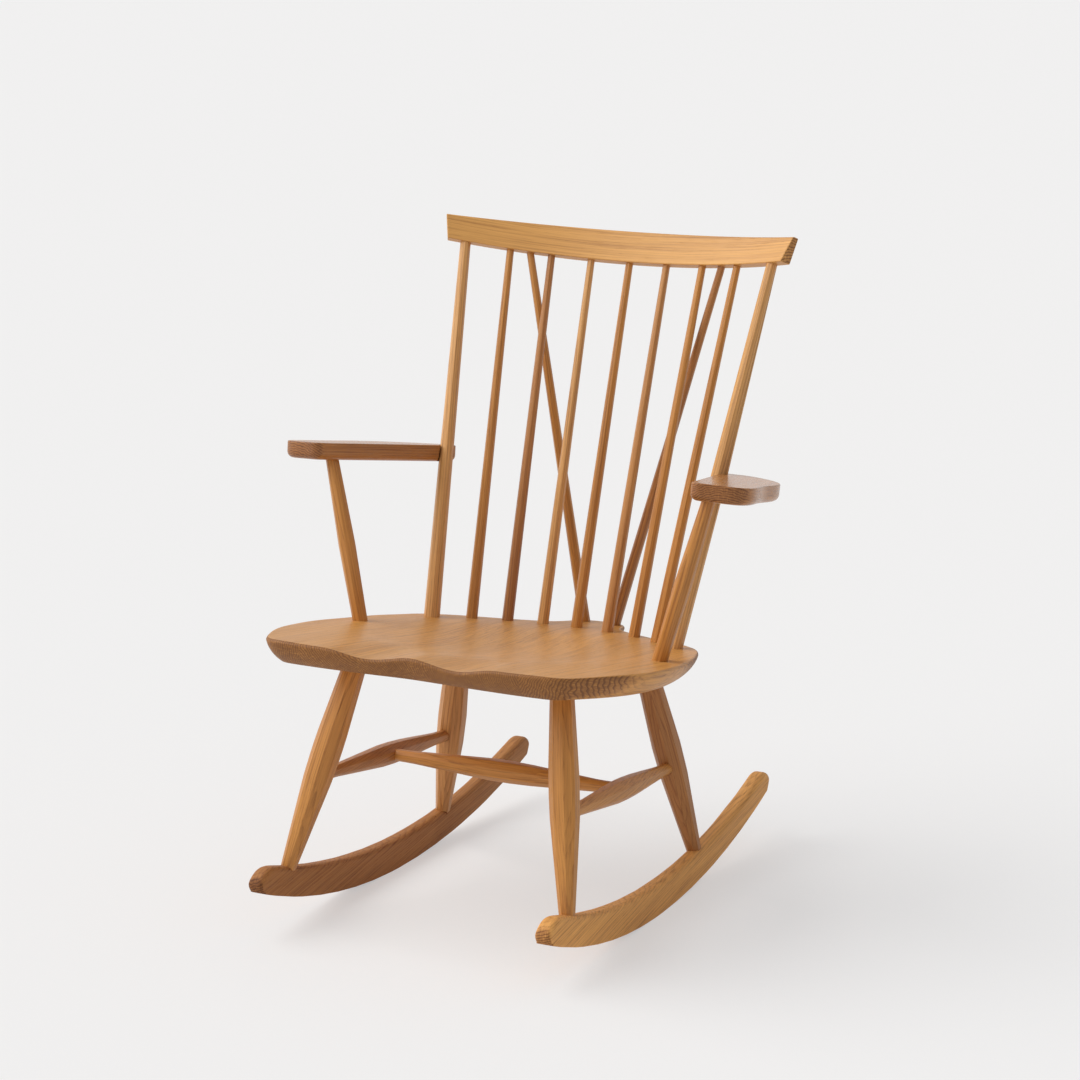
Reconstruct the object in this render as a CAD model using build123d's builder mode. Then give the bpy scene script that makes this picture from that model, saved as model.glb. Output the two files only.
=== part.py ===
from build123d import *
from math import asin, cos, degrees, exp, radians, sin, sqrt, tan
import os

# Comb-back rocking chair with a braced back, in solid oak.
# Millimetres.  +Z is up, the sitter faces -Y, and X = 0 is the plane of symmetry.
# The origin is on the floor, about half-way between the two ends of the rockers.
# "left" is the side at -X and "right" the side at +X.

# ---------------------------------------------------------------- sizes
glue_gap = 0.15  # between a tenon and its hole, all round
tenon_shoulder = 4.0  # faceted end that is let into a hole before the round tenon

# rockers
rocker_front_reach = 404.0  # in front of Y = 0
rocker_back_reach = 396.0  # behind Y = 0
rocker_front_radius = 990.0  # of the lower edge, in front of the point that touches the floor
rocker_back_radius = 1186.0  # behind it, flatter
rocker_front_height = 45.4  # above its lower edge, at the front leg
rocker_back_height = 42.0  # at the back leg
rocker_top_radius = 1190.0
rocker_thickness = 26.0
rocker_crown = 8.5  # rounding of the two top edges
rocker_crown_share = 0.242  # and at most this much of the height at the back end
rocker_nose = 66.0  # length over which the front end comes down
rocker_brow = 12.0  # a point of the sloping front end, that far behind its outermost point
rocker_brow_height = 28.0  # and that far above the lower edge
rocker_heel = 34.0  # length over which the back end comes down
rocker_tip = 11.0  # how far the outermost point of an end lies above the lower edge
rocker_tip_lean = 4.0  # how far the lower edge stops short of it
rocker_nose_steepness = 1.2  # rise over run where the front end leaves the lower edge
rocker_heel_steepness = 2.0
rocker_lowest = -25.5  # Y of the point that touches the floor, under the centre of gravity
rocker_spacing = 444.0  # centre to centre, measured at Y = 0
rocker_toe_in = 1.26  # degrees, closer together at the back

# seat
seat_height = 386.6  # of the flat top surface, above Y = 0
seat_tilt = 8.42  # degrees, front edge up
seat_thickness = 34.0
seat_width = 588.0
seat_front = 368.0  # from Y = 0 forward, along the seat
seat_pommel_recess = 10.0  # how far the middle of the front edge lies back
seat_widest = 170.0  # from Y = 0 forward
seat_shoulder_width = 456.0  # where the side turns into the back
seat_shoulder = 100.0  # behind Y = 0
seat_back = 177.0  # behind Y = 0
seat_undercut = 25.0  # how far the bottom lies inside the top
seat_bend = 0.58  # share of the thickness where the side turns under
seat_bend_undercut = 0.32  # share of the undercut there
seat_edge_round = 4.0
tail_width = 92.0  # bracket behind the seat that holds the two braces
tail_length = 94.0  # behind the back edge
dish_depth = 15.0
dish_width = 450.0
dish_length = 430.0
dish_centre = 95.0  # in front of Y = 0
dish_fade = 1.6  # how softly the dish runs out
thigh_depth = 10.5  # hollow on each side of the pommel
thigh_spacing = 136.0
thigh_width = 46.0
thigh_length = 190.0
saddle_overlap = 0.35  # share of the shallower hollow added to the deeper one
board_width = 87.0

# legs
leg_foot_width = 20.5
leg_belly_width = 40.5
leg_belly = 0.6  # share of the length below the thickest place
leg_top_width = 31.0
foot_clearance = 0.2  # between the hollowed foot and the rounded rocker
foot_hollow = 7.0  # how far the foot reaches down over the rocker's rounding
foot_inset = 3.0  # from the rocker's middle toward its inner face
foot_tenon = 13.0
foot_tenon_depth = 25.0
leg_tenon = 22.0
leg_tenon_cover = 9.0  # wood left over the tenon
front_foot = 317.5  # in front of Y = 0
front_leg_spread = 319.0  # between the two axes, at the seat's top surface
front_leg_seat = 207.0  # in front of Y = 0, along the seat
back_foot = 126.3  # behind Y = 0
back_leg_spread = 299.0
back_leg_seat = 71.5  # behind Y = 0

# stretchers
stretcher_end_width = 17.5
stretcher_belly_width = 31.5
stretcher_swell = 0.5  # share of the swelling half-way to the middle
stretcher_sink = 1.0  # let deeper into the legs, which are thinner there than at their belly
stretcher_tenon = 13.0
stretcher_tenon_length = 12.0
side_stretcher_front_rise = 128.0  # above the rocker, at the front leg
side_stretcher_back_rise = 131.0
cross_stretcher_place = 0.513  # share of the side stretcher in front of it
cross_tenon_length = 6.0

# comb
crest_height = 899.4  # of its lower edge, in the middle
crest_reach = 340.4  # behind Y = 0
crest_tilt = 24.0
crest_radius = 631.0
crest_span = 570.0  # along the chord
crest_middle_height = 52.0
crest_end_height = 40.5
crest_bottom_thickness = 19.5
crest_top_thickness = 8.0
crest_flare = 11.8  # degrees, ends lean outward
crest_arch = crest_middle_height - crest_end_height
crest_back_round = 4.0
crest_edge_round = 1.2

# sticks of the back
spindle_count = 7
spindle_circle = 283.0  # radius of the row, at the seat
spindle_row = 162.8  # middle spindle, behind Y = 0
spindle_turn = 11.2  # degrees between two spindles
spindle_top_pitch = 64.2
spindle_foot_width = 16.5
spindle_belly_width = 21.0
spindle_belly = 0.32  # share of the length below the thickest place
spindle_top_width = 10.5
spindle_tenon = 9.0
spindle_depth = 17.0  # in the seat
spindle_crest_depth = 18.0
spindle_top_tenon = 7.5
post_turn = 12.7  # degrees from the last spindle to the post
post_top_spread = 518.6
post_foot_width = 23.0
post_belly_width = 26.5
post_belly = 0.3
post_top_width = 15.0
post_tenon = 15.0
post_top_tenon = 10.0
brace_spread = 52.0
brace_inset = 27.0  # from the rear end of the tail
brace_top_spread = 324.6
brace_setback = 2.0  # behind the middle of the crest's thickness
brace_crest_depth = 10.0

# arms
arm_height = 247.6  # of the arm's top, above the seat at the back post
arm_thickness = 25.5
arm_pitch = 9.3  # degrees, front end up
arm_cant = 4.2  # degrees, outer edge down
arm_turn = 13.9  # degrees, front end outward
arm_front = 275.0  # in front of the back post
arm_inner = 4.8  # inner edge, outward of the back post's axis
arm_front_width = 47.0  # straight part of the front end
arm_front_slant = 1.0  # its inner corner lies this far behind the outer one
arm_front_turn = 0.02  # slope of the outer edge where it leaves the front end
arm_bow_width = 90.1  # between the belly and the front end
arm_bow = 0.46  # place of that width, 0.5 being half-way between the two
arm_belly_width = 99.0
arm_belly = 113.0  # in front of the back post
arm_shoulder_width = 69.0  # beside the back post
arm_tail_width = 34.5  # where the outer edge has come round behind the back post
arm_tail_end = 29.2  # behind the back post, there
arm_tail_corner = 27.2  # behind the back post, at the inner corner
arm_tail_overhang = 4.0  # inner corner, inward of the inner edge
arm_corner = 16.0
arm_tail_round = 12.0
arm_top_round = 2.0
arm_bottom_round = 10.0
arm_post_spread = 496.0  # at the seat
arm_post_seat = 68.5  # in front of Y = 0
arm_post_reach = 223.7  # in front of the back post, along the arm
arm_post_inset = 21.0  # from the arm's inner edge
arm_post_foot_width = 21.0
arm_post_belly_width = 24.0
arm_post_belly = 0.45
arm_post_top_width = 18.0
arm_post_tenon = 13.0
arm_post_arm_depth = 16.0
dowel_width = 8.0
dowel_in_arm = 26.0
dowel_in_post = 9.0

# ---------------------------------------------------------------- reference planes
deck = Plane(
    origin=(0, 0, seat_height),
    x_dir=(1, 0, 0),
    z_dir=(0, sin(radians(seat_tilt)), cos(radians(seat_tilt))),
)
comb = Plane(
    origin=(0, crest_reach, crest_height),
    x_dir=(1, 0, 0),
    z_dir=(0, sin(radians(crest_tilt)), cos(radians(crest_tilt))),
)


def on_deck(x, back, rise=0.0):
    return deck.from_local_coords(Vector(x, back, rise))


def on_crest(x, back=0.0):
    """Point on the crest's underside, x along the chord, back from mid-thickness."""
    turn = asin(x / crest_radius)
    reach = crest_radius + back
    return comb.from_local_coords(Vector(reach * sin(turn), reach * cos(turn) - crest_radius, 0))


def shave(foot, tip, rings, foot_tenon_size, tip_tenon_size, fit=0.0, mode=Mode.ADD):
    """Eight-sided stick from foot to tip, with round tenons (width, length) past its ends.

    rings holds pairs of (share of the length, width across the flats).  With a fit, the
    same shape is that much larger all round and makes the hole for the stick.
    """
    run = tip - foot
    across = Vector(1, 0, 0) if abs(run.Y) + abs(run.Z) > abs(run.X) else Vector(0, 1, 0)
    axis = Plane(origin=foot, x_dir=across - run.normalized() * across.dot(run.normalized()), z_dir=run)
    sections = []
    for share, width in rings:
        place = share * run.length
        if share == 0:
            place -= fit
        if share == 1:
            place += fit
        with BuildSketch(axis.offset(place)) as ring:
            RegularPolygon(width / 2 + fit, 8, major_radius=False, rotation=22.5)
        sections.append(ring.sketch)
    loft(sections, mode=mode)
    for place, way, size in ((0.0, -1, foot_tenon_size), (run.length, 1, tip_tenon_size)):
        if size:
            width, length = size
            with BuildSketch(axis.offset(place)) as tenon:
                Circle(width / 2 + fit)
            extrude(tenon.sketch, amount=way * (length + fit), mode=mode)


def belly(foot_width, belly_width, top_width, place, low_share=0.72, high_share=0.57):
    """Rings of a stick that swells from both ends to its belly.

    The shares say how much of the swelling is reached half-way to the belly.
    """
    return (
        (0, foot_width),
        (place / 2, foot_width + (belly_width - foot_width) * low_share),
        (place, belly_width),
        ((1 + place) / 2, top_width + (belly_width - top_width) * high_share),
        (1, top_width),
    )


# ---------------------------------------------------------------- where the sticks run
def rocker_plane(side):
    turn = radians(rocker_toe_in)
    return Plane(
        origin=(side * rocker_spacing / 2, 0, 0),
        x_dir=(-side * sin(turn), cos(turn), 0),
        z_dir=(cos(turn), side * sin(turn), 0),
    )


def rim(back):
    """Height of a rocker's lower edge above the floor."""
    radius = rocker_front_radius if back < rocker_lowest else rocker_back_radius
    return radius - sqrt(radius**2 - (back - rocker_lowest) ** 2)


# The rocker's top is an arc over the two feet.
crown_front = Vector(-front_foot, rim(-front_foot) + rocker_front_height)
crown_back = Vector(back_foot, rim(back_foot) + rocker_back_height)
crown_chord = crown_back - crown_front
crown_lift = Vector(-crown_chord.Y, crown_chord.X).normalized()
crown_sagitta = sqrt(rocker_top_radius**2 - (crown_chord.length / 2) ** 2)
crown_centre = (crown_front + crown_back) / 2 + crown_lift * crown_sagitta


def crown(back):
    """Point on the top of a rocker, in the rocker's own plane."""
    rise = crown_centre.Y - sqrt(rocker_top_radius**2 - (back - crown_centre.X) ** 2)
    return Vector(back, rise)


def rocker_solid(side, fit=0.0, mode=Mode.ADD):
    """Rocker with a lower edge of two arcs that run into each other, a rounded top and ends."""
    toe_place = rocker_tip_lean - rocker_front_reach
    heel_place = rocker_back_reach - rocker_tip_lean
    toe = Vector(toe_place, rim(toe_place))
    heel = Vector(heel_place, rim(heel_place))
    lowest = Vector(rocker_lowest, 0)
    front_tip = Vector(-rocker_front_reach, rim(-rocker_front_reach) + rocker_tip)
    brow_place = rocker_brow - rocker_front_reach
    brow = Vector(brow_place, rim(brow_place) + rocker_brow_height)
    back_tip = Vector(rocker_back_reach, rim(rocker_back_reach) + rocker_tip)
    front = crown(rocker_nose - rocker_front_reach)
    back = crown(rocker_back_reach - rocker_heel)
    front_way = (front - crown_centre).rotate(Axis.Z, -90)
    back_way = (back - crown_centre).rotate(Axis.Z, 90)
    with BuildSketch(rocker_plane(side).offset(-rocker_thickness / 2 - fit)) as profile:
        with BuildLine():
            TangentArc(lowest, toe, tangent=(-1, 0))
            TangentArc(lowest, heel, tangent=(1, 0))
            Spline(heel, back_tip, back, tangents=(Vector(1, rocker_heel_steepness), back_way.reverse()))
            ThreePointArc(back, crown(0), front)
            Spline(front, brow, front_tip, toe, tangents=(front_way, Vector(1, -rocker_nose_steepness)))
        make_face()
    body = extrude(profile.sketch, amount=rocker_thickness + 2 * fit, mode=Mode.PRIVATE)
    # every edge of the two side faces, but for the two arcs of each lower edge
    rounded = body.faces().filter_by(rocker_plane(side)).edges().sort_by(Axis.Z)[4:]
    rounding = min(rocker_crown, rocker_crown_share * (back.Y - rim(back.X)))
    add(body.fillet(rounding + fit, rounded), mode=mode)


def leg_axis(side, foot, spread, seat_place):
    """Where the leg's axis meets the rocker's top and the seat's top."""
    low = crown(foot)
    base = rocker_plane(side).from_local_coords(Vector(low.X, low.Y, -side * foot_inset))
    return base, on_deck(side * spread / 2, seat_place)


def leg_solid(side, foot, spread, seat_place, fit=0.0, mode=Mode.ADD):
    low, high = leg_axis(side, foot, spread, seat_place)
    way = (high - low).normalized()
    slant = way.dot(deck.z_dir)
    tip = high - way * ((seat_thickness - tenon_shoulder) / slant)
    length = (seat_thickness - tenon_shoulder - leg_tenon_cover) / slant
    shave(low - way * foot_hollow, tip, leg_rings, None, (leg_tenon, length), fit, mode)


def leg_peg(side, foot, spread, seat_place, fit=0.0, mode=Mode.ADD):
    """Round tenon from inside the leg down into the rocker."""
    low, high = leg_axis(side, foot, spread, seat_place)
    way = (high - low).normalized()
    top = low + way * foot_tenon
    with BuildSketch(Plane(origin=top, z_dir=-way)) as section:
        Circle(foot_tenon / 2 + fit)
    extrude(section.sketch, amount=foot_tenon + foot_tenon_depth + fit, mode=mode)


def on_leg(side, foot, spread, seat_place, rise):
    """Point on a leg's axis, that high above the rocker's top."""
    low, high = leg_axis(side, foot, spread, seat_place)
    return low + (high - low) * (rise / (high.Z - low.Z))


leg_rings = belly(leg_foot_width, leg_belly_width, leg_top_width, leg_belly)
stretcher_rings = belly(
    stretcher_end_width,
    stretcher_belly_width,
    stretcher_end_width,
    0.5,
    stretcher_swell,
    stretcher_swell,
)
front_leg = (-front_foot, front_leg_spread, -front_leg_seat)
back_leg = (back_foot, back_leg_spread, back_leg_seat)


def side_stretcher_axis(side):
    front = on_leg(side, *front_leg, side_stretcher_front_rise)
    back = on_leg(side, *back_leg, side_stretcher_back_rise)
    return front, back


def side_stretcher_solid(side, fit=0.0, mode=Mode.ADD):
    front, back = side_stretcher_axis(side)
    way = (back - front).normalized()
    inset = leg_belly_width / 2 - tenon_shoulder - stretcher_sink
    tenon = (stretcher_tenon, stretcher_tenon_length)
    shave(front + way * inset, back - way * inset, stretcher_rings, tenon, tenon, fit, mode)


def cross_stretcher_solid(fit=0.0, mode=Mode.ADD):
    ends = []
    for side in (-1, 1):
        front, back = side_stretcher_axis(side)
        ends.append(front + (back - front) * cross_stretcher_place)
    left, right = ends
    way = (right - left).normalized()
    inset = stretcher_belly_width / 2 - tenon_shoulder
    tenon = (stretcher_tenon, cross_tenon_length)
    shave(left + way * inset, right - way * inset, stretcher_rings, tenon, tenon, fit, mode)


def back_stick(low, high, rings, seat_tenon, crest_tenon, fit, mode):
    """Stick from a point on the seat's top to a point on the crest's underside."""
    way = (high - low).normalized()
    foot = low - way * tenon_shoulder
    tip = high + way * tenon_shoulder
    seat_size, seat_depth = seat_tenon
    crest_size, crest_depth = crest_tenon
    shave(
        foot,
        tip,
        rings,
        (seat_size, seat_depth - tenon_shoulder),
        (crest_size, crest_depth - tenon_shoulder),
        fit,
        mode,
    )


def spindle_solid(index, fit=0.0, mode=Mode.ADD):
    step = index - (spindle_count - 1) / 2
    turn = radians(step * spindle_turn)
    low = on_deck(
        spindle_circle * sin(turn), spindle_row - spindle_circle * (1 - cos(turn))
    )
    high = on_crest(step * spindle_top_pitch)
    rings = belly(spindle_foot_width, spindle_belly_width, spindle_top_width, spindle_belly)
    seat_tenon = (spindle_tenon, spindle_depth)
    back_stick(low, high, rings, seat_tenon, (spindle_top_tenon, spindle_crest_depth), fit, mode)


def post_ends(side):
    turn = radians((spindle_count - 1) / 2 * spindle_turn + post_turn)
    low = on_deck(
        side * spindle_circle * sin(turn), spindle_row - spindle_circle * (1 - cos(turn))
    )
    return low, on_crest(side * post_top_spread / 2)


def post_solid(side, fit=0.0, mode=Mode.ADD):
    low, high = post_ends(side)
    rings = belly(post_foot_width, post_belly_width, post_top_width, post_belly)
    seat_tenon = (post_tenon, spindle_depth)
    back_stick(low, high, rings, seat_tenon, (post_top_tenon, spindle_crest_depth), fit, mode)


def brace_solid(side, fit=0.0, mode=Mode.ADD):
    low = on_deck(side * brace_spread / 2, seat_back + tail_length - brace_inset)
    high = on_crest(side * brace_top_spread / 2, brace_setback)
    rings = belly(spindle_foot_width, spindle_belly_width, spindle_top_width, spindle_belly)
    seat_tenon = (spindle_tenon, spindle_depth)
    back_stick(low, high, rings, seat_tenon, (spindle_top_tenon, brace_crest_depth), fit, mode)


def arm_plane(side):
    """Top face of an arm: origin on the back post's axis, x outward, y backward."""
    low, high = post_ends(side)
    way = (high - low).normalized()
    origin = low + way * (arm_height / way.Z)
    fore = tan(radians(arm_pitch))
    drop = tan(radians(arm_cant))
    level = Plane(origin=origin, x_dir=(1, 0, -side * drop), z_dir=(side * drop, fore, 1))
    return level.rotated((0, 0, side * arm_turn))


def on_arm(side, outward, forward, rise=0.0):
    return arm_plane(side).from_local_coords(Vector(side * outward, -forward, rise))


def arm_post_solid(side, fit=0.0, mode=Mode.ADD):
    low = on_deck(side * arm_post_spread / 2, -arm_post_seat)
    high = on_arm(side, arm_inner + arm_post_inset, arm_post_reach, -arm_thickness)
    rings = belly(
        arm_post_foot_width, arm_post_belly_width, arm_post_top_width, arm_post_belly
    )
    seat_tenon = (arm_post_tenon, spindle_depth)
    back_stick(low, high, rings, seat_tenon, (arm_post_tenon, arm_post_arm_depth), fit, mode)


def dowel_solid(side, fit=0.0, mode=Mode.ADD):
    """Hidden dowel that holds the arm against the back post."""
    middle = on_arm(side, 0, 0, -arm_thickness / 2)
    outer = on_arm(side, 1, 0, -arm_thickness / 2)
    way = (outer - middle).normalized()
    start = middle - way * (dowel_in_post + fit)
    with BuildSketch(Plane(origin=start, z_dir=way)) as section:
        Circle(dowel_width / 2 + fit)
    length = dowel_in_post + arm_inner + dowel_in_arm + 2 * fit
    extrude(section.sketch, amount=length, mode=mode)


# ---------------------------------------------------------------- seat
def seat_outline(inset):
    """Points of the closed line round the seat, moved inward by inset.

    The right side runs from the pommel along the front edge, round the front corner, back
    along the side, round the shoulder and along the back edge to the end of the tail.
    """
    half = seat_width / 2
    shoulder = seat_shoulder_width / 2
    tail = tail_width / 2
    right = [
        (half * 0.22, -(seat_front - seat_pommel_recess * 0.45)),
        (half * 0.45, -seat_front),
        (half * 0.66, -seat_front * 0.997),
        (half * 0.785, -seat_front * 0.967),
        (half * 0.865, -seat_front * 0.875),
        (half * 0.938, -(seat_front + seat_widest) / 2),
        (half * 0.992, -seat_widest * 1.2),
        (half * 0.992, -seat_widest * 0.6),
        (half * 0.95, -seat_widest * 0.18),
        (half * 0.482 + shoulder * 0.5, seat_shoulder * 0.48),
        (shoulder, seat_shoulder),
        (shoulder * 0.73, seat_back * 0.80),
        (shoulder * 0.50, seat_back * 0.93),
        (tail * 1.80, seat_back + tail_length * 0.05),
        (tail * 1.30, seat_back + tail_length * 0.26),
        (tail * 1.05, seat_back + tail_length * 0.52),
        (tail * 0.90, seat_back + tail_length * 0.76),
        (tail * 0.52, seat_back + tail_length * 0.95),
    ]
    left = [(-x, y) for x, y in reversed(right)]
    pommel = (0, seat_pommel_recess - seat_front)
    tail_end = (0, seat_back + tail_length)
    points = [pommel, *right, tail_end, *left]
    moved = []
    for i, (x, y) in enumerate(points):
        before = Vector(*points[i - 1])
        after = Vector(*points[(i + 1) % len(points)])
        along = (after - before).normalized()
        moved.append((x - along.Y * inset, y + along.X * inset))
    return moved


def saddle_drop(x, back):
    """Depth of the carving below the flat top, in the seat's own axes."""
    reach = (2 * x / dish_width) ** 2 + (2 * (back + dish_centre) / dish_length) ** 2
    dish = dish_depth * max(0.0, 1 - reach) ** dish_fade
    side = (abs(x) - thigh_spacing / 2) / thigh_width
    fade = (back + seat_front) / thigh_length
    hollow = thigh_depth * exp(-(side**2)) * exp(-(max(0.0, fade) ** 2))
    return max(dish, hollow) + saddle_overlap * min(dish, hollow)


saddle_steps = 18
saddle_margin = 30.0  # the carved surface runs past the seat on every side
saddle_reach = seat_width / 2 + saddle_margin
saddle_length = seat_front + seat_back + tail_length + 2 * saddle_margin
saddle_rows = []
for i in range(saddle_steps + 1):
    x = saddle_reach * (2 * i / saddle_steps - 1)
    row = []
    for j in range(saddle_steps + 1):
        back = saddle_length * j / saddle_steps - seat_front - saddle_margin
        row.append(on_deck(x, back, -saddle_drop(x, back)))
    saddle_rows.append(row)
saddle = Face.make_surface_from_array_of_points(saddle_rows, tol=0.2, min_deg=3, max_deg=3)

# holes that the sticks of the back make in the seat and in the crest
with BuildPart() as back_holes:
    for index in range(spindle_count):
        spindle_solid(index, glue_gap)
    for side in (-1, 1):
        post_solid(side, glue_gap)
        brace_solid(side, glue_gap)

# holes that the arm posts and the legs make in the seat
with BuildPart() as base_holes:
    for side in (-1, 1):
        arm_post_solid(side, glue_gap)
        leg_solid(side, *front_leg, glue_gap)
        leg_solid(side, *back_leg, glue_gap)

with BuildPart() as seat:
    # blank with upright upper sides, undercut below, and spare height for the saddle to cut
    spare_height = 3 * seat_edge_round
    for rise, inset in (
        (spare_height, 0),
        (-seat_edge_round, 0),
        (-seat_thickness * seat_bend, seat_undercut * seat_bend_undercut),
        (-seat_thickness, seat_undercut),
    ):
        with BuildSketch(deck.offset(rise)):
            with BuildLine():
                Spline(*seat_outline(inset), periodic=True)
            make_face()
    loft()
    # saddle, with a rounded rim
    extrude(saddle, amount=seat_thickness, dir=deck.z_dir, mode=Mode.SUBTRACT)
    fillet(seat.edges().sort_by(SortBy.LENGTH)[-1], seat_edge_round)
    # blind holes for the sticks and the legs
    add(back_holes.part, mode=Mode.SUBTRACT)
    add(base_holes.part, mode=Mode.SUBTRACT)

# The seat is glued up from boards, edge to edge, with the middle joint at X = 0.
os.makedirs("parts", exist_ok=True)
boards_per_side = 3
for number in range(2 * boards_per_side):
    start = (number - boards_per_side) * board_width
    with BuildPart() as board:
        add(seat.part)
        if number > 0:
            split(bisect_by=Plane.YZ.offset(start), keep=Keep.TOP)
        if number < 2 * boards_per_side - 1:
            split(bisect_by=Plane.YZ.offset(start + board_width), keep=Keep.BOTTOM)
    board.part.label = f"seat_board_{number + 1}"
    export_step(board.part, f"parts/seat_board_{number + 1}.step")

# ---------------------------------------------------------------- base
for side, hand in ((-1, "left"), (1, "right")):
    with BuildPart() as rocker:
        rocker_solid(side)
        leg_peg(side, *front_leg, glue_gap, Mode.SUBTRACT)
        leg_peg(side, *back_leg, glue_gap, Mode.SUBTRACT)
    rocker.part.label = f"{hand}_rocker"
    export_step(rocker.part, f"parts/{hand}_rocker.step")

    for name, place in (("front", front_leg), ("back", back_leg)):
        with BuildPart() as leg:
            leg_solid(side, *place)
            rocker_solid(side, foot_clearance, Mode.SUBTRACT)
            leg_peg(side, *place)
            side_stretcher_solid(side, glue_gap, Mode.SUBTRACT)
        leg.part.label = f"{name}_{hand}_leg"
        export_step(leg.part, f"parts/{name}_{hand}_leg.step")

    with BuildPart() as side_stretcher:
        side_stretcher_solid(side)
        cross_stretcher_solid(glue_gap, Mode.SUBTRACT)
    side_stretcher.part.label = f"{hand}_side_stretcher"
    export_step(side_stretcher.part, f"parts/{hand}_side_stretcher.step")

with BuildPart() as cross_stretcher:
    cross_stretcher_solid()
cross_stretcher.part.label = "cross_stretcher"
export_step(cross_stretcher.part, "parts/cross_stretcher.step")

# ---------------------------------------------------------------- back
with BuildPart() as crest:
    # curved blank, thinner toward the top, its ends leaning outward
    for rise, thickness in ((0, crest_bottom_thickness), (crest_middle_height, crest_top_thickness)):
        outer = crest_radius + crest_bottom_thickness / 2
        half_span = crest_span / 2 + rise * tan(radians(crest_flare))
        half_turn = degrees(asin(half_span / crest_radius))
        with BuildSketch(comb.offset(rise)):
            with BuildLine():
                back = CenterArc((0, -crest_radius), outer, 90 - half_turn, 2 * half_turn)
                front = CenterArc((0, -crest_radius), outer - thickness, 90 - half_turn, 2 * half_turn)
                Line(back @ 0, front @ 0)
                Line(back @ 1, front @ 1)
            make_face()
    loft(ruled=True)
    # arched top edge
    with BuildSketch(Plane(origin=comb.origin, x_dir=comb.x_dir, z_dir=-comb.y_dir)):
        with BuildLine():
            # twice as far out as the ends, an arch has dropped about four times as far
            left = (-crest_span, crest_middle_height - crest_arch * 4)
            right = (crest_span, crest_middle_height - crest_arch * 4)
            ThreePointArc(left, (0, crest_middle_height), right)
            Polyline(right, (crest_span, crest_span), (-crest_span, crest_span), left)
        make_face()
    extrude(amount=crest_span, both=True, mode=Mode.SUBTRACT)
    # rounded edges, softest along the top of the back
    back_face = crest.faces().sort_by(SortBy.AREA)[-1]
    fillet(back_face.edges().group_by(Axis(comb.origin, comb.z_dir))[-1], crest_back_round)
    fillet(crest.edges(), crest_edge_round)
    add(back_holes.part, mode=Mode.SUBTRACT)
crest.part.label = "crest_rail"
export_step(crest.part, "parts/crest_rail.step")

for index in range(spindle_count):
    with BuildPart() as spindle:
        spindle_solid(index)
    spindle.part.label = f"spindle_{index + 1}"
    export_step(spindle.part, f"parts/spindle_{index + 1}.step")

for side, hand in ((-1, "left"), (1, "right")):
    with BuildPart() as brace:
        brace_solid(side)
    brace.part.label = f"{hand}_brace_spindle"
    export_step(brace.part, f"parts/{hand}_brace_spindle.step")

    with BuildPart() as post:
        post_solid(side)
        dowel_solid(side, glue_gap, Mode.SUBTRACT)
    post.part.label = f"{hand}_back_post"
    export_step(post.part, f"parts/{hand}_back_post.step")

    with BuildPart() as arm_post:
        arm_post_solid(side)
    arm_post.part.label = f"{hand}_arm_post"
    export_step(arm_post.part, f"parts/{hand}_arm_post.step")

    with BuildPart() as dowel:
        dowel_solid(side)
    dowel.part.label = f"{hand}_arm_dowel"
    export_step(dowel.part, f"parts/{hand}_arm_dowel.step")

    with BuildPart() as arm:
        with BuildSketch(arm_plane(side).offset(-arm_thickness)) as outline:
            with BuildLine():
                tail = (side * (arm_inner - arm_tail_overhang), arm_tail_corner)
                corner = (side * arm_inner, arm_front_slant - arm_front)
                tip = (side * (arm_inner + arm_front_width), -arm_front)
                Polyline(tail, corner, tip)
                Spline(
                    tip,
                    (side * (arm_inner + arm_bow_width), -(arm_front + arm_belly) * arm_bow),
                    (side * (arm_inner + arm_belly_width), -arm_belly),
                    (side * (arm_inner + arm_shoulder_width), 0),
                    (side * (arm_inner + arm_tail_width), arm_tail_end),
                    tail,
                    tangents=(Vector(side, -arm_front_turn), Vector(-side, 0)),
                )
            make_face()
            fillet(outline.vertices().sort_by(Axis.Y)[-1], arm_tail_round)
            front_corners = outline.vertices().sort_by(Axis.Y)[:2]
            fillet(front_corners.sort_by(Axis.X, reverse=side < 0)[0], arm_corner)
        extrude(amount=arm_thickness)
        fillet(arm.faces().filter_by(arm_plane(side)).sort_by(Axis.Z)[0].edges(), arm_bottom_round)
        fillet(arm.faces().filter_by(arm_plane(side)).sort_by(Axis.Z)[-1].edges(), arm_top_round)
        post_solid(side, glue_gap, Mode.SUBTRACT)
        arm_post_solid(side, glue_gap, Mode.SUBTRACT)
        dowel_solid(side, glue_gap, Mode.SUBTRACT)
    arm.part.label = f"{hand}_arm"
    export_step(arm.part, f"parts/{hand}_arm.step")
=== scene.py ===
import math

import bmesh
import bpy
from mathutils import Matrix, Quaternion, Vector


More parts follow.
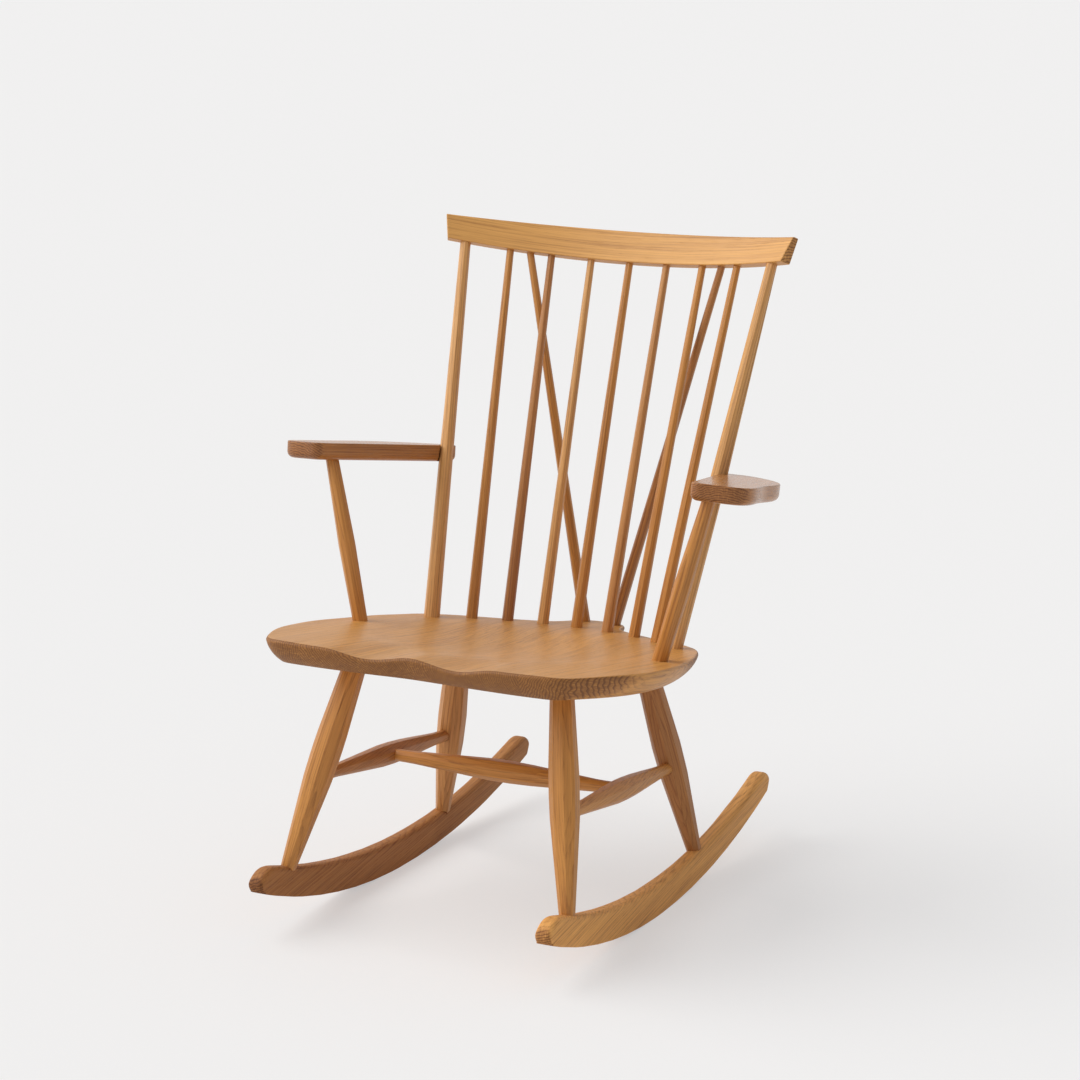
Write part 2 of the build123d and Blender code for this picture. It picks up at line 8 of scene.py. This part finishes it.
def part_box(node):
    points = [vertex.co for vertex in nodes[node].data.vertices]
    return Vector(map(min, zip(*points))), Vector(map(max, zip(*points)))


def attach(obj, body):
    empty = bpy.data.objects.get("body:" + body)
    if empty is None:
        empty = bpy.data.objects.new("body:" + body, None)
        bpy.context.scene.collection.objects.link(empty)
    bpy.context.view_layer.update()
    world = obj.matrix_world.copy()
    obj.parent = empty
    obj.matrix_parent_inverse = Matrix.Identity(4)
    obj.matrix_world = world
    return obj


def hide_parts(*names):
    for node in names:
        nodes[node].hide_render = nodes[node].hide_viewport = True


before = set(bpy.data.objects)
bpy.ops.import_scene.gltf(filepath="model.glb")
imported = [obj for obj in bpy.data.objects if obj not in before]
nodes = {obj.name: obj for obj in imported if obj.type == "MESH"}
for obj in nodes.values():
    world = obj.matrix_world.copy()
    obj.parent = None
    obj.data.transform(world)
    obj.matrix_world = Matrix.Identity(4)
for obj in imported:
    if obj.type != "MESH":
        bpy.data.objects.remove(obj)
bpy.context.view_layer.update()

# ---------------------------------------------------------------- rockers
# Each rocker is sawn from one oak board and rounded over at its top and ends.
# The grain is straight, so its lines cross the curved edges and the ends show end grain.
# All the wood of the chair is oak with a satin oil finish.


class Pattern:
    """The shader nodes of one material, added a step at a time."""

    def __init__(self, name, seed):
        self.material = bpy.data.materials.new(name)
        self.material.use_nodes = True
        self.tree = self.material.node_tree
        self.shader = self.tree.nodes["Principled BSDF"]
        self.seed = seed

    def link(self, value, socket):
        """Gives a socket a plain number or what another node puts out."""
        if isinstance(value, (int, float)):
            socket.default_value = value
        else:
            self.tree.links.new(value, socket)

    def maths(self, operation, *values):
        node = self.tree.nodes.new("ShaderNodeMath")
        node.operation = operation
        for value, socket in zip(values, node.inputs):
            self.link(value, socket)
        return node.outputs[0]

    def total(self, *terms):
        """Sum of values, plain numbers and (factor, value) pairs."""
        result = None
        for term in terms:
            if isinstance(term, tuple):
                factor, value = term
                term = self.maths("MULTIPLY", value, factor)
            result = term if result is None else self.maths("ADD", result, term)
        return result

    def reach(self, a, b):
        """Length of the slanting side over the sides a and b."""
        return self.maths("SQRT", self.total(self.maths("MULTIPLY", a, a), self.maths("MULTIPLY", b, b)))

    def between(self, value, low, high):
        """0 below low, 1 above high and a soft step between them."""
        node = self.tree.nodes.new("ShaderNodeMapRange")
        node.interpolation_type = "SMOOTHSTEP"
        self.link(value, node.inputs["Value"])
        node.inputs["From Min"].default_value = low
        node.inputs["From Max"].default_value = high
        return node.outputs["Result"]

    def vector(self, x, y, z):
        node = self.tree.nodes.new("ShaderNodeCombineXYZ")
        for value, socket in zip((x, y, z), node.inputs):
            self.link(value, socket)
        return node.outputs[0]

    def mapping(self, vector, location, rotation=(0, 0, 0), scale=(1, 1, 1)):
        node = self.tree.nodes.new("ShaderNodeMapping")
        node.inputs["Location"].default_value = location
        node.inputs["Rotation"].default_value = rotation
        node.inputs["Scale"].default_value = scale
        self.link(vector, node.inputs["Vector"])
        return node.outputs["Vector"]

    def noise(self, vector, detail):
        node = self.tree.nodes.new("ShaderNodeTexNoise")
        node.inputs["Scale"].default_value = 1
        node.inputs["Detail"].default_value = detail
        self.link(vector, node.inputs["Vector"])
        return node.outputs["Fac"]

    def specks(self, wood, scale, detail=2.0):
        """Noise with specks that are 1/scale metres long in X, Y and Z, other for each seed."""
        return self.noise(self.mapping(wood, (self.seed, self.seed * 0.7, 0), scale=scale), detail)


def place_in_wood(pattern, coordinates, grain, pith, bend):
    """Place as a vector and its parts, X along the grain and the pith line at Y = Z = 0."""
    turn = grain.to_track_quat("X", "Z").inverted()
    start = Vector(pith)
    if bend:
        start, tilt, radius = bend
        turn = Quaternion((1, 0, 0), math.radians(tilt)) @ turn
    wood = pattern.mapping(coordinates.outputs["Object"], -(turn @ start), turn.to_euler())
    axes = pattern.tree.nodes.new("ShaderNodeSeparateXYZ")
    pattern.link(wood, axes.inputs[0])
    x, y, z = axes.outputs
    if bend:
        outward = pattern.reach(x, y)
        x = pattern.maths("MULTIPLY", pattern.maths("ARCTAN2", x, y), radius)
        y = pattern.total(outward, -radius - pith[1])
        z = pattern.total(z, -pith[2])
        wood = pattern.vector(x, y, z)
    return wood, x, y, z


def growth_rings(pattern, wood, y, z, ring):
    """Distance from the pith, and where the porous early wood on each ring's inner side is."""
    sway = pattern.specks(wood, (1.5, 10, 10))
    ripple = pattern.specks(wood, (9, 70, 70))
    uneven = pattern.specks(wood, (1, 130, 130), 0.0)
    distance = pattern.total(pattern.reach(y, z), (0.020, sway), (0.0022, ripple))
    place = pattern.maths("FRACT", pattern.total((1 / ring, distance), (1.1, uneven)))
    late_wood = pattern.between(place, 0.0, 0.55)
    ring_start = pattern.between(place, 0.0, 0.06)
    porous = pattern.maths("MULTIPLY", pattern.maths("SUBTRACT", 1, late_wood), ring_start)
    return distance, porous


def rays(pattern, x, y, z, distance):
    """Pale rays that run outward from the pith and part the pores on end grain."""
    spread = (
        pattern.maths("MULTIPLY", x, 60),
        pattern.maths("MULTIPLY", distance, 90),
        pattern.maths("MULTIPLY", pattern.maths("ARCTAN2", z, y), 190),
    )
    return pattern.between(pattern.noise(pattern.vector(*spread), 1), 0.52, 0.64)


def wood_colours(pattern, tone, colour):
    """Colour of each tone of the wood, from dark pores to pale fibres."""
    ramp = pattern.tree.nodes.new("ShaderNodeValToRGB")
    pattern.link(tone, ramp.inputs["Fac"])
    stops = ((0.0, 0.30, 0.24), (0.35, 0.66, 0.60), (0.6, 1.0, 1.0), (0.95, 1.28, 1.36))
    elements = ramp.color_ramp.elements
    while len(elements) < len(stops):
        elements.new(0.5)
    for element, (stop, red_share, other_share) in zip(elements, stops):
        red, green, blue = colour
        element.position = stop
        element.color = (red * red_share, green * other_share, blue * other_share, 1)
    return ramp.outputs["Color"]


def oak(
    name, grain, pith, colour, ring,
    figure=1.0, shine=0.40, seed=0.0, end=(0.3, 0.7), oiled=0.0, bend=None,
):
    """Oak with its grain along one direction and its growth rings round a pith line.

    The pith line is parallel to the grain and goes through the point pith, outside the piece.
    figure is how strongly the rings show, end how far a face has to turn across the grain
    before it starts to look like end grain and until it does, and oiled how much darker that is.
    bend is the centre, tilt and radius of the arc that the grain of a curved piece follows.
    Its pith is then told from the middle of the arc.
    """
    pattern = Pattern(name, seed)
    coordinates = pattern.tree.nodes.new("ShaderNodeTexCoord")
    along_grain = Vector(grain).normalized()
    wood, x, y, z = place_in_wood(pattern, coordinates, along_grain, pith, bend)

    # pores, fibres and broad patches, all drawn out along the grain
    distance, porous = growth_rings(pattern, wood, y, z, ring)
    pores = pattern.between(pattern.specks(wood, (45, 1400, 1400)), 0.56, 0.68)
    fibre = pattern.specks(wood, (9, 640, 640))
    streak = pattern.specks(wood, (3, 240, 240))
    patch = pattern.specks(wood, (2.5, 22, 22))
    along = pattern.total(
        (0.50, fibre),
        (0.66, streak),
        (0.26, patch),
        (-0.17 * figure, porous),
        (-0.07, pores),
        (-0.14 * figure, pattern.maths("MULTIPLY", pores, porous)),
        -0.07,
    )

    # sawn across the grain, the wood shows its open pores, drinks more oil and looks darker
    facing = pattern.tree.nodes.new("ShaderNodeVectorMath")
    facing.operation = "DOT_PRODUCT"
    facing.inputs[1].default_value = along_grain
    pattern.link(coordinates.outputs["Normal"], facing.inputs[0])
    sawn_end = pattern.between(pattern.maths("ABSOLUTE", facing.outputs["Value"]), *end)
    long_face = pattern.maths("SUBTRACT", 1, sawn_end)
    ray = rays(pattern, x, y, z, distance)
    across = pattern.total((0.26, patch), (0.20, streak), (-0.52, porous), (0.22, ray), 0.16 - oiled)

    tone = pattern.total(
        pattern.maths("MULTIPLY", along, long_face),
        pattern.maths("MULTIPLY", across, sawn_end),
    )
    shader = pattern.shader
    pattern.link(wood_colours(pattern, tone, colour), shader.inputs["Base Color"])
    shader.inputs["Specular IOR Level"].default_value = 0.3
    roughness = pattern.total(shine - 0.04, (0.08, fibre), (0.12, sawn_end), (0.1, pores))
    pattern.link(roughness, shader.inputs["Roughness"])
    bump = pattern.tree.nodes.new("ShaderNodeBump")
    bump.inputs["Strength"].default_value = 0.3
    bump.inputs["Distance"].default_value = 0.0003
    pattern.link(pattern.total((0.5, fibre), (-0.6, pores), (-0.3, porous)), bump.inputs["Height"])
    pattern.link(bump.outputs["Normal"], shader.inputs["Normal"])
    return pattern.material


def soften(node, wood, edge):
    """Stands a copy with softly rounded edges in place of a sharp-edged CAD piece."""
    bpy.ops.object.select_all(action="DESELECT")
    piece = bpy.data.objects.new(f"{node}_shaved", nodes[node].data.copy())
    bpy.context.collection.objects.link(piece)
    mesh = bmesh.new()
    mesh.from_mesh(piece.data)
    bmesh.ops.remove_doubles(mesh, verts=mesh.verts, dist=0.00002)
    bmesh.ops.dissolve_limit(mesh, angle_limit=math.radians(1.5), verts=mesh.verts, edges=mesh.edges)
    mesh.to_mesh(piece.data)
    mesh.free()
    piece.data.materials.clear()
    piece.data.materials.append(wood)
    bpy.context.view_layer.objects.active = piece
    piece.select_set(True)
    bevel = piece.modifiers.new("rounded edges", "BEVEL")
    bevel.limit_method = "ANGLE"
    bevel.angle_limit = math.radians(24)
    bevel.width = edge
    bevel.segments = 3
    bpy.ops.object.modifier_apply(modifier=bevel.name)
    bpy.ops.object.shade_smooth_by_angle(angle=math.radians(28))
    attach(piece, "root")
    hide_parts(node)


# The right rocker gets a lighter colour than the left as painted fill light on the chair's right side,
# not as a paler board.
rocker_tones_with_painted_fill = {"left_rocker": (0.378, 0.1602, 0.0495), "right_rocker": (0.72, 0.351, 0.1035)}
rocker_grain = (0, 1, 0.16)
rocker_edge = 0.003
for side, (name, colour) in zip((-1, 1), rocker_tones_with_painted_fill.items()):
    low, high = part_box(name)
    pith = ((low.x + high.x) / 2 + 0.07, 0, -0.12)
    wood = oak(
        f"oak_{name}", rocker_grain, pith, colour, ring=0.0038,
        shine=0.62, seed=2.3 + side, oiled=0.15,
    )
    soften(name, wood, rocker_edge)

# ---------------------------------------------------------------- legs and stretchers
# Four shaved legs stand on the rockers, and two side rails and a cross rail tie them.
# All are eight-sided sticks, swelling in the middle, with straight grain from end to end.

honey = (0.52, 0.225, 0.055)
russet = (0.51, 0.235, 0.077)
amber = (0.42, 0.178, 0.055)


def stick_axis(node):
    """Middles of the lowest and the highest slice of a stick."""
    points = [vertex.co for vertex in nodes[node].data.vertices]
    low = min(point.z for point in points)
    high = max(point.z for point in points)
    slice_height = 0.05 * (high - low)
    bottom = [point for point in points if point.z < low + slice_height]
    top = [point for point in points if point.z > high - slice_height]
    return sum(bottom, Vector()) / len(bottom), sum(top, Vector()) / len(top)


leg_tones = {
    "front_left_leg": honey,
    "front_right_leg": honey,
    "back_left_leg": russet,
    "back_right_leg": amber,
}
leg_edge = 0.0022
for number, (name, colour) in enumerate(leg_tones.items()):
    foot, head = stick_axis(name)
    pith = foot + Vector((0.05 - 0.012 * number, -0.05, 0))
    wood = oak(f"oak_{name}", head - foot, pith, colour, ring=0.0034, seed=7.1 * number)
    soften(name, wood, leg_edge)

rails = {
    "left_side_stretcher": (amber, (0, 1, 0.08)),
    "right_side_stretcher": (honey, (0, 1, 0.08)),
    "cross_stretcher": (honey, (1, 0, 0)),
}
rail_edge = 0.0015
for number, (name, (colour, grain)) in enumerate(rails.items()):
    low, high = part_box(name)
    pith = (low + high) / 2 + Vector((0.02, 0.03, -0.05))
    wood = oak(f"oak_{name}", grain, pith, colour, ring=0.0034, seed=31 + 3 * number)
    soften(name, wood, rail_edge)

# ---------------------------------------------------------------- seat
# Boards glued edge to edge with their grain from front to back, then carved as one saddle.
# The front edge is end grain, with arcs of rings that turn over from board to board.


def dress(node, wood):
    """Gives a CAD piece its wood."""
    for slot in nodes[node].material_slots:
        slot.material = wood


seat_tone = (0.59, 0.275, 0.070)
seat_grain = (0.02, 1, -0.148)  # slopes down to the back, as the seat does
board_shades = (0.97, 1.0, 0.93, 0.97, 0.91, 0.98)
pith_sides = (-0.11, 0.07, -0.085, 0.12, 0.08, -0.09)
pith_rises = (0.05, 0.09, -0.02, 0.10, 0.06, 0.08)
for number, shade in enumerate(board_shades):
    name = f"seat_board_{number + 1}"
    low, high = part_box(name)
    colour = tuple(shade * part for part in seat_tone)
    pith = ((low.x + high.x) / 2 + pith_sides[number], 0, low.z + pith_rises[number])
    wood = oak(
        f"oak_{name}", seat_grain, pith, colour, ring=0.0034,
        figure=0.7, seed=50 + 5 * number, end=(0.13, 0.30), oiled=0.22,
    )
    dress(name, wood)

# ---------------------------------------------------------------- back
# Two posts, seven spindles and two braces from the tail of the seat, shaved like the legs,
# and the two posts under the arms.
# Their wood is picked from mixed stock, so a few are browner than the rest.

straw = (0.64, 0.33, 0.115)
stick_tones = {
    "left_back_post": straw,
    "spindle_1": honey,
    "spindle_2": amber,
    "spindle_3": straw,
    "spindle_4": honey,
    "spindle_5": russet,
    "spindle_6": honey,
    "spindle_7": honey,
    "right_back_post": straw,
    "left_brace_spindle": honey,
    "right_brace_spindle": amber,
    "left_arm_post": honey,
    "right_arm_post": honey,
}
stick_edge = 0.0028
for number, (name, colour) in enumerate(stick_tones.items()):
    foot, head = stick_axis(name)
    pith = foot + Vector((0.03, 0.04 + 0.002 * number, 0))
    wood = oak(
        f"oak_{name}", head - foot, pith, colour, ring=0.0030,
        shine=0.34, seed=80 + 4.7 * number,
    )
    soften(name, wood, stick_edge)

# ---------------------------------------------------------------- crest rail
# One oak rail over the tenons of the sticks, bent to an arc that leans back.
# Its grain runs across the chair and follows the bend, and its ends are cut square.

crest_tone = (0.635, 0.318, 0.092)
crest_centre = Vector((0, -0.236, 1.156))
crest_tilt = 24  # degrees
crest_radius = 0.631
wood = oak(
    "oak_crest_rail", (1, 0, 0), (0, 0.04, -0.17), crest_tone, ring=0.0044,
    figure=0.6, seed=120, end=(0.6, 0.85), bend=(crest_centre, crest_tilt, crest_radius),
)
dress("crest_rail", wood)

# ---------------------------------------------------------------- arms
# Flat sawn oak arms, smoother than the rest where hands polish them. Each is let in
# round its arm post's tenon and held by a hidden dowel at the back.

for side, name in ((-1, "left"), (1, "right")):
    low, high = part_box(f"{name}_arm")
    arm_grain = (side * 0.25, -1, 0.16)
    pith = ((low.x + high.x) / 2 + side * 0.03, 0, low.z - 0.04)
    wood = oak(
        f"oak_{name}_arm", arm_grain, pith, amber, ring=0.0034,
        shine=0.22, seed=140 + 9 * side,
    )
    dress(f"{name}_arm", wood)
    dress(f"{name}_arm_dowel", wood)

# ---------------------------------------------------------------- camera
# A long lens that stands at the front right of the chair, well above its crest,
# and looks down at it.

look_down = 13.1392  # degrees
look_round = 27.2506
camera_data = bpy.data.cameras.new("camera")
camera_data.sensor_width = 36
camera_data.lens = 106.667
camera = bpy.data.objects.new("camera", camera_data)
camera.location = (2.1179, -4.0726, 1.6046)
camera.rotation_euler = (math.radians(90 - look_down), 0, math.radians(look_round))
bpy.context.collection.objects.link(camera)
bpy.context.scene.camera = camera

# ---------------------------------------------------------------- floor and light
# One wide pale painted floor, which also makes the backdrop. Seen straight or in a
# reflection it glows a little, so it stays pale, and it still takes the chair's shadow.
# The light is an even room light and a broad window on the left.

floor_size = 120
floor_glow = 0.5
room_light = 0.46
reflected_light = 0.36  # more of it in reflections, as from pale walls

bpy.ops.object.select_all(action="DESELECT")
bpy.ops.mesh.primitive_plane_add(size=floor_size, location=(0, floor_size / 6, 0))
floor = bpy.context.object
floor.name = "floor"
paint = Pattern("floor_paint", 0)
paint.shader.inputs["Base Color"].default_value = (0.88, 0.875, 0.87, 1)
paint.shader.inputs["Roughness"].default_value = 0.9
paint.shader.inputs["Specular IOR Level"].default_value = 0.1
glow = paint.tree.nodes.new("ShaderNodeEmission")
glow.inputs["Color"].default_value = (0.905, 0.90, 0.905, 1)
light_path = paint.tree.nodes.new("ShaderNodeLightPath")
seen = paint.total(light_path.outputs["Is Camera Ray"], light_path.outputs["Is Glossy Ray"])
blend = paint.tree.nodes.new("ShaderNodeMixShader")
paint.link(paint.maths("MULTIPLY", seen, floor_glow), blend.inputs[0])
paint.link(paint.shader.outputs[0], blend.inputs[1])
paint.link(glow.outputs[0], blend.inputs[2])
paint.link(blend.outputs[0], paint.tree.nodes["Material Output"].inputs["Surface"])
floor.data.materials.append(paint.material)

world = bpy.data.worlds.new("world")
bpy.context.scene.world = world
world.use_nodes = True
sky = world.node_tree.nodes["Background"]
sky.inputs["Color"].default_value = (0.98, 0.99, 1, 1)
light_path = world.node_tree.nodes.new("ShaderNodeLightPath")
strength = world.node_tree.nodes.new("ShaderNodeMath")
strength.operation = "MULTIPLY_ADD"
strength.inputs[1].default_value = reflected_light
strength.inputs[2].default_value = room_light
world.node_tree.links.new(light_path.outputs["Is Glossy Ray"], strength.inputs[0])
world.node_tree.links.new(strength.outputs[0], sky.inputs["Strength"])

window_data = bpy.data.lights.new("window", "SUN")
window_data.energy = 2.5
window_data.angle = math.radians(60)
window_data.color = (1, 0.985, 0.965)
window = bpy.data.objects.new("window", window_data)
window.rotation_euler = (math.radians(50), 0, math.radians(-66))
bpy.context.collection.objects.link(window)

bpy.context.scene.view_settings.view_transform = "Standard"
